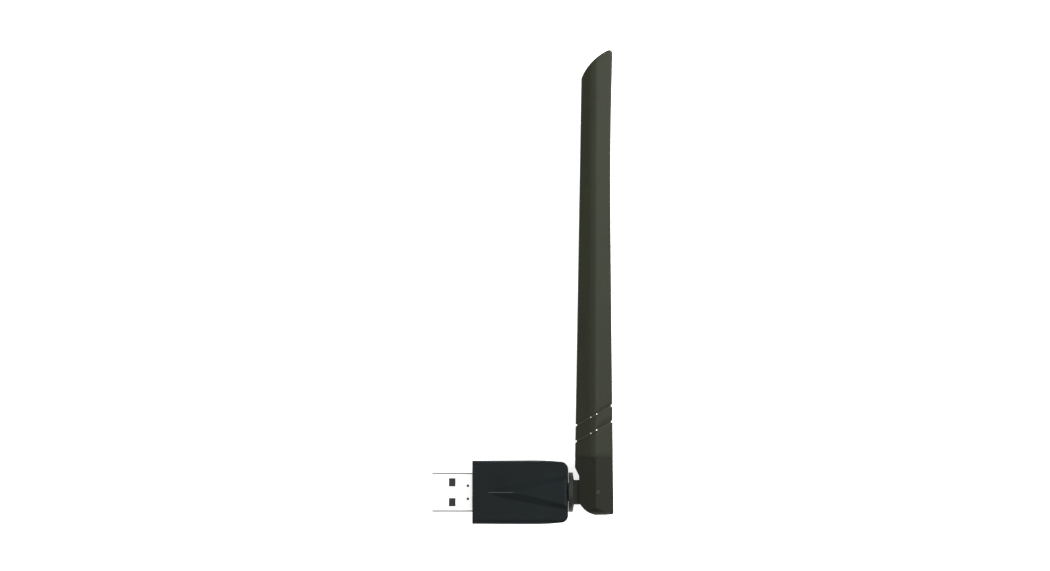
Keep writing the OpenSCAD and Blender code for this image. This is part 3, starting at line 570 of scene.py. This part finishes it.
# The cut across the tip: an arc's radius and centre, its rounded edge and corner, and the rings below it
TIP_RADIUS, TIP_REACH, TIP_HALF, TIP_FLAT, TIP_LIMIT = 16.9, 10.6, 7.4, 9.5, 0.995
TIP_CENTRE = Vector((PIVOT_X + TIP_REACH, TIP_Y - math.sqrt(TIP_RADIUS ** 2 - TIP_HALF ** 2)))
TIP_EDGE, TIP_EDGE_STEPS, TIP_CORNER = 0.22, 4, 1.0
TIP_LEVEL, TIP_RINGS = 110, 12
HOLLOW_LEVELS = (60, 30)


def near_x(y):
    """The plug side of the antenna at height y."""
    return PIVOT_X - BASE_REACH + LEAN * (y - LEAN_START) / (TIP_Y - LEAN_START)


def far_x(y):
    """The far side of the antenna at height y."""
    if y < WAIST_Y:
        return PIVOT_X + FAR_REACH - WAIST * (1 - ((WAIST_Y - y) / WAIST_Y) ** WAIST_POWER)
    return PIVOT_X + FAR_REACH - WAIST + FLARE * ((y - WAIST_Y) / (TIP_Y - WAIST_Y)) ** 2


def sheath_outline(y, inset):
    """The section at height y: two crowned sides, and on both faces a soft ridge between two slopes."""
    half = HALF_AT_PIVOT + (HALF_AT_TIP - HALF_AT_PIVOT) * y / TIP_Y
    side = half * SIDE_SHARE
    near, far, middle = near_x(y), far_x(y), PIVOT_X + RIDGE_X
    corners = [(far, -side), (far, side), (middle + RIDGE_HALF, half), (middle - RIDGE_HALF, half),
               (near, side), (near, -side), (middle - RIDGE_HALF, -half), (middle + RIDGE_HALF, -half)]
    corners = inset_outline([Vector(c) for c in corners], inset)
    bulge = CROWN * CROWN_SHARE
    upper = [Vector((corners[1].x + CROWN, 0)), Vector((corners[1].x + bulge, corners[1].y * HALF_WAY))]
    side_radius = max(SIDE_RADIUS - inset, LEAST_RADIUS)
    upper += rounded_corner(corners[0], corners[1], corners[2], side_radius, SIDE_STEPS)
    ridge_right = rounded_corner(corners[1], corners[2], corners[3], RIDGE_RADIUS, RIDGE_STEPS)
    upper += [upper[-1].lerp(ridge_right[0], t) for t in FAR_SLOPE] + ridge_right
    ridge_left = rounded_corner(corners[2], corners[3], corners[4], RIDGE_RADIUS, RIDGE_STEPS)
    left = rounded_corner(corners[3], corners[4], corners[5], side_radius, SIDE_STEPS)
    upper += ridge_left + [ridge_left[-1].lerp(left[0], t) for t in NEAR_SLOPE] + left
    upper += [Vector((corners[4].x - bulge, corners[4].y * HALF_WAY)), Vector((corners[4].x - CROWN, 0))]
    return upper + [Vector((p.x, -p.y)) for p in reversed(upper[1:-1])]


def tip_y(x, inset=0.0):
    """Height of the slanting cut across the tip, with its rounded high corner."""
    reach = TIP_RADIUS - inset
    across = min(max(x - TIP_CENTRE.x, -reach * TIP_LIMIT), TIP_FLAT - TIP_RADIUS)
    cut = TIP_CENTRE.y + math.sqrt(reach ** 2 - across ** 2)
    corner_x = far_x(TIP_Y) - TIP_CORNER
    past = min(max(x - corner_x, 0.0), TIP_CORNER)
    corner = TIP_Y - TIP_CORNER + math.sqrt(TIP_CORNER ** 2 - past ** 2) - inset
    return min(cut, corner)


def sheath_ring(place_y, inset):
    """A ring whose points each lie at the height that place_y gives for their X."""
    ring = []
    for i, first in enumerate(sheath_outline(place_y(PIVOT_X), inset)):
        y = place_y(first.x)
        point = sheath_outline(y, inset)[i]
        ring.append((point.x, place_y(point.x), point.y))
    return ring


def slanted(s, share):
    """The heights of a ring that slopes as the grooves do, by a share."""
    return lambda x: s + share * GROOVE_SLOPE * (x - PIVOT_X - RIDGE_X)


def towards_tip(s, share, inset=0.0, drop=0.0):
    """The heights of a ring between level s and the cut across the tip."""
    return lambda x: s + share * (tip_y(x, inset) - drop - s)


def outer_rows():
    """The outside of the sheath from joint to tip: (heights, inset, share of the grooves' depth) by ring."""
    rows = [(slanted(JOINT_Y + lift, 0), inset, 0) for lift, inset in JOINT_RINGS]
    rows += [(slanted(s, share), 0, 0) for s, share in LOWER_RINGS]
    for groove in GROOVES:
        rows += [(slanted(groove + away, 1), depth, depth / MAX_DEPTH) for away, depth in GROOVE_PROFILE]
    rows += [(slanted(s, share), 0, 0) for s, share in UPPER_RINGS]
    rows += [(slanted(s, 0), 0, 0) for s in range(LEVEL_START, TIP_LEVEL + 1, LEVEL_STEP)]
    rows += [(towards_tip(TIP_LEVEL, i / TIP_RINGS), 0, 0) for i in range(1, TIP_RINGS)]
    for i in range(TIP_EDGE_STEPS + 1):
        a = math.pi / 2 * i / TIP_EDGE_STEPS
        heights = towards_tip(TIP_LEVEL, 1, drop=TIP_EDGE * (1 - math.sin(a)))
        rows.append((heights, TIP_EDGE * (1 - math.cos(a)), 0))
    return rows


def inner_rows():
    """The hollow inside, from the tip back to the joint."""
    rows = [(towards_tip(TIP_LEVEL, share, SHEATH_WALL), SHEATH_WALL, 0) for share in (1, 0.5)]
    return rows + [(slanted(s, 0), SHEATH_WALL, 0) for s in (TIP_LEVEL, *HOLLOW_LEVELS, JOINT_Y)]


def closing_faces(first, count):
    """Strips from the upper to the lower half of a ring that is the same on both sides of its middle."""
    faces = []
    for i in range(count // 2):
        corners = (i, i + 1, (count - i - 1) % count, (count - i) % count)
        faces.append(tuple(first + k for k in dict.fromkeys(corners)))
    return faces


def sheath_mesh():
    """The sheath's outside and its hollow, joined by the rim at the joint."""
    outer, inner = outer_rows(), inner_rows()
    rings = [sheath_ring(heights, inset) for heights, inset, _ in outer + inner]
    count = len(rings[0])
    tip, hollow, last = (len(outer) - 1) * count, len(outer) * count, (len(rings) - 1) * count
    faces = closing_faces(tip, count) + closing_faces(hollow, count)
    faces += [(i, (i + 1) % count, last + (i + 1) % count, last + i) for i in range(count)]
    mesh = from_rings("detail_antenna_sheath", rings, faces, gaps=(len(outer) - 1,))
    depth = mesh.attributes.new("groove", "FLOAT", "POINT")
    depth.data.foreach_set("value", [share for _, _, share in outer + inner for _ in range(count)])
    mark_creases(mesh, SHEATH_CREASE)
    return mesh


def antenna_sheath():
    """The antenna's long cover, closed at the tip."""
    place("detail_antenna_sheath", sheath_mesh(), "antenna", "antenna_plastic", "antenna_sheath")


# ---------- Lead through the tilt hinge ----------

LEAD_STEPS, LEAD_SIDES, LEAD_CREASE = 18, 20, 40


def coax_flex():
    """The quarter turn of the lead from the swivel's body to the antenna's."""
    low, high = (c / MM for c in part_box("coax_flex"))
    radius = (high.z - low.z) / 2
    turn = high.y
    centre = Vector((low.x, turn, 0))
    rings = []
    for i in range(LEAD_STEPS + 1):
        a = math.pi / 2 * i / LEAD_STEPS
        middle = centre + turn * Vector((math.sin(a), -math.cos(a), 0))
        out = (middle - centre).normalized()
        ring = []
        for j in range(LEAD_SIDES):
            b = 2 * math.pi * j / LEAD_SIDES
            ring.append(middle + radius * (math.cos(b) * out + math.sin(b) * Vector((0, 0, 1))))
        rings.append(ring)
    last = LEAD_STEPS * LEAD_SIDES
    ends = [tuple(range(LEAD_SIDES)), tuple(last + j for j in range(LEAD_SIDES))]
    mesh = from_rings("detail_coax_flex", rings, ends)
    mark_creases(mesh, LEAD_CREASE)
    mesh.materials.append(MATERIALS["lead_jacket"])
    piece = bpy.data.objects.new("detail_coax_flex", mesh)
    bpy.context.scene.collection.objects.link(piece)
    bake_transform(piece)
    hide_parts("coax_flex")


# ---------- Pieces that follow their nodes ----------

# The slot of each other node's piece, and how far its creases are eased, in mm
EASED = {
    "lower_housing": ("housing_plastic", 0.12),
    "usb_shell": ("nickel_shell", 0.06),
    "usb_tongue": ("insulator", 0.1),
    "contact_vbus": ("gold_contact", 0.04),
    "contact_data_minus": ("gold_contact", 0.04),
    "contact_data_plus": ("gold_contact", 0.04),
    "contact_ground": ("gold_contact", 0.04),
    "main_pcb": ("board_green", 0.03),
    "wifi_chip": ("chip_epoxy", 0.05),
    "crystal": ("crystal_can", 0.08),
    "power_inductor": ("ferrite", 0.08),
    "voltage_regulator": ("chip_epoxy", 0.05),
    "rf_diplexer": ("ceramic_white", 0.05),
    "ceramic_capacitors": ("ceramic_tan", 0.05),
    "resistors": ("chip_epoxy", 0.04),
    "board_solder": ("solder", 0.05),
    "friction_washer": ("washer_nylon", 0.03),
    "swivel_base": ("swivel_plastic", 0.12),
    "hinge_pin_front": ("pin_steel", 0.15),
    "hinge_pin_back": ("pin_steel", 0.15),
    "antenna_pcb": ("strip_board", 0.03),
    "antenna_trace": ("copper", 0.01),
    "coax_body": ("lead_jacket", 0.04),
    "coax_swivel": ("lead_jacket", 0.04),
    "coax_antenna": ("lead_jacket", 0.04),
    "feed_solder": ("solder", 0.05),
}

# Half the width that holds the spear, and how far below the roof an edge still counts as on it
SPEAR_HALF, ROOF_MARGIN = 7 * MM, 0.01 * MM
SHELL_EASING, CLEVIS_EASING = 0.12 * MM, 0.15 * MM
# The clevis's broad faces are joined over slightly larger turns, in degrees
CLEVIS_FLAT = 3


def on_roof(a, b):
    """True of an edge on the raised spear, whose creases are shallow."""
    return min(a.z, b.z) > ROOF_Z - ROOF_MARGIN and max(abs(a.y), abs(b.y)) < SPEAR_HALF


def upper_housing():
    """The upper shell, with the shallow creases of its spear kept."""
    eased("upper_housing", "housing_plastic", SHELL_EASING, shallow=on_roof)


def antenna_clevis():
    """The clevis, in a darker copy of the antenna's plastic whose darker colour is painted shade, with a
    lower specular level than the sheath's.
    """
    eased("antenna_clevis", "antenna_plastic", CLEVIS_EASING, flat=CLEVIS_FLAT, look="clevis_shaded_plastic")


def eased_nodes():
    """A piece for each node in EASED."""
    for node, (slot_name, width) in EASED.items():
        eased(node, slot_name, width * MM)


# ---------- Camera, floor and light ----------

# The camera's sensor in mm, and the width, height and centre of its view from straight above
SENSOR = 36.0
VIEW_WIDTH = 321.1 * MM
VIEW_HEIGHT = 4.0
VIEW_CENTRE = (16.1 * MM, 63.2 * MM)
FLOOR_HALF = 20.0


def camera():
    """A long lens straight above the adapter."""
    data = bpy.data.cameras.new("camera")
    data.sensor_width = SENSOR
    data.lens = SENSOR * VIEW_HEIGHT / VIEW_WIDTH
    made = bpy.data.objects.new("camera", data)
    made.location = (*VIEW_CENTRE, VIEW_HEIGHT)
    bpy.context.scene.collection.objects.link(made)
    bpy.context.scene.camera = made


def floor():
    """A flat sheet under the adapter."""
    corners = [(-1, -1), (1, -1), (1, 1), (-1, 1)]
    mesh = bpy.data.meshes.new("floor")
    mesh.from_pydata([(x * FLOOR_HALF, y * FLOOR_HALF, cad_box[0].z) for x, y in corners], [], [(0, 1, 2, 3)])
    mesh.materials.append(pale_floor())
    made = bpy.data.objects.new("floor", mesh)
    bpy.context.scene.collection.objects.link(made)


# Each light's place, the side of its square in metres and its power in watts. The key lights the far
# side of the antenna, and the two small ones glint where the grooves cross its ridge
LIGHTS = {
    "key": ((0.28, 0.25, 0.17), 0.16, 2.1),
    "glint_right": ((0.38, 0.025, 0.7), 0.11, 2.8),
    "glint_left": ((-0.305, 0.025, 0.7), 0.11, 1.0),
}


def softbox(name, place_at, size, power):
    """A square area light that faces the middle of the object."""
    data = bpy.data.lights.new(name, "AREA")
    data.shape = "SQUARE"
    data.size = size
    data.energy = power
    made = bpy.data.objects.new(name, data)
    made.location = place_at
    target = Vector((*VIEW_CENTRE, 0))
    made.rotation_euler = (target - Vector(place_at)).to_track_quat("-Z", "Y").to_euler()
    bpy.context.scene.collection.objects.link(made)


# Brightness of the dome by the height of the direction: a pale horizon, a dimmer ring and a white top
DOME = ((0.0, 0.95), (0.06, 0.95), (0.12, 0.4), (0.2, 0.42), (0.95, 1.05))


def white_dome():
    """A white world with a dimmer ring above the horizon, as a room has round a studio table."""
    world = bpy.data.worlds.new("studio")
    world.use_nodes = True
    tree = world.node_tree
    coordinates = tree.nodes.new("ShaderNodeTexCoord")
    parts = tree.nodes.new("ShaderNodeSeparateXYZ")
    tree.links.new(coordinates.outputs["Generated"], parts.inputs["Vector"])
    ramp = tree.nodes.new("ShaderNodeValToRGB")
    stops = ramp.color_ramp.elements
    while len(stops) < len(DOME):
        stops.new(1.0)
    for stop, (height, level) in zip(stops, DOME):
        stop.position = height
        stop.color = (level, level, level, 1)
    tree.links.new(parts.outputs["Z"], ramp.inputs["Fac"])
    tree.links.new(ramp.outputs["Color"], tree.nodes["Background"].inputs["Color"])
    bpy.context.scene.world = world


def studio():
    """The dome, the lights and plain colours."""
    white_dome()
    for name, (place_at, size, power) in LIGHTS.items():
        softbox(name, place_at, size, power)
    bpy.context.scene.view_settings.view_transform = "Standard"


camera()
floor()
studio()
antenna_sheath()
coax_flex()
upper_housing()
antenna_clevis()
eased_nodes()
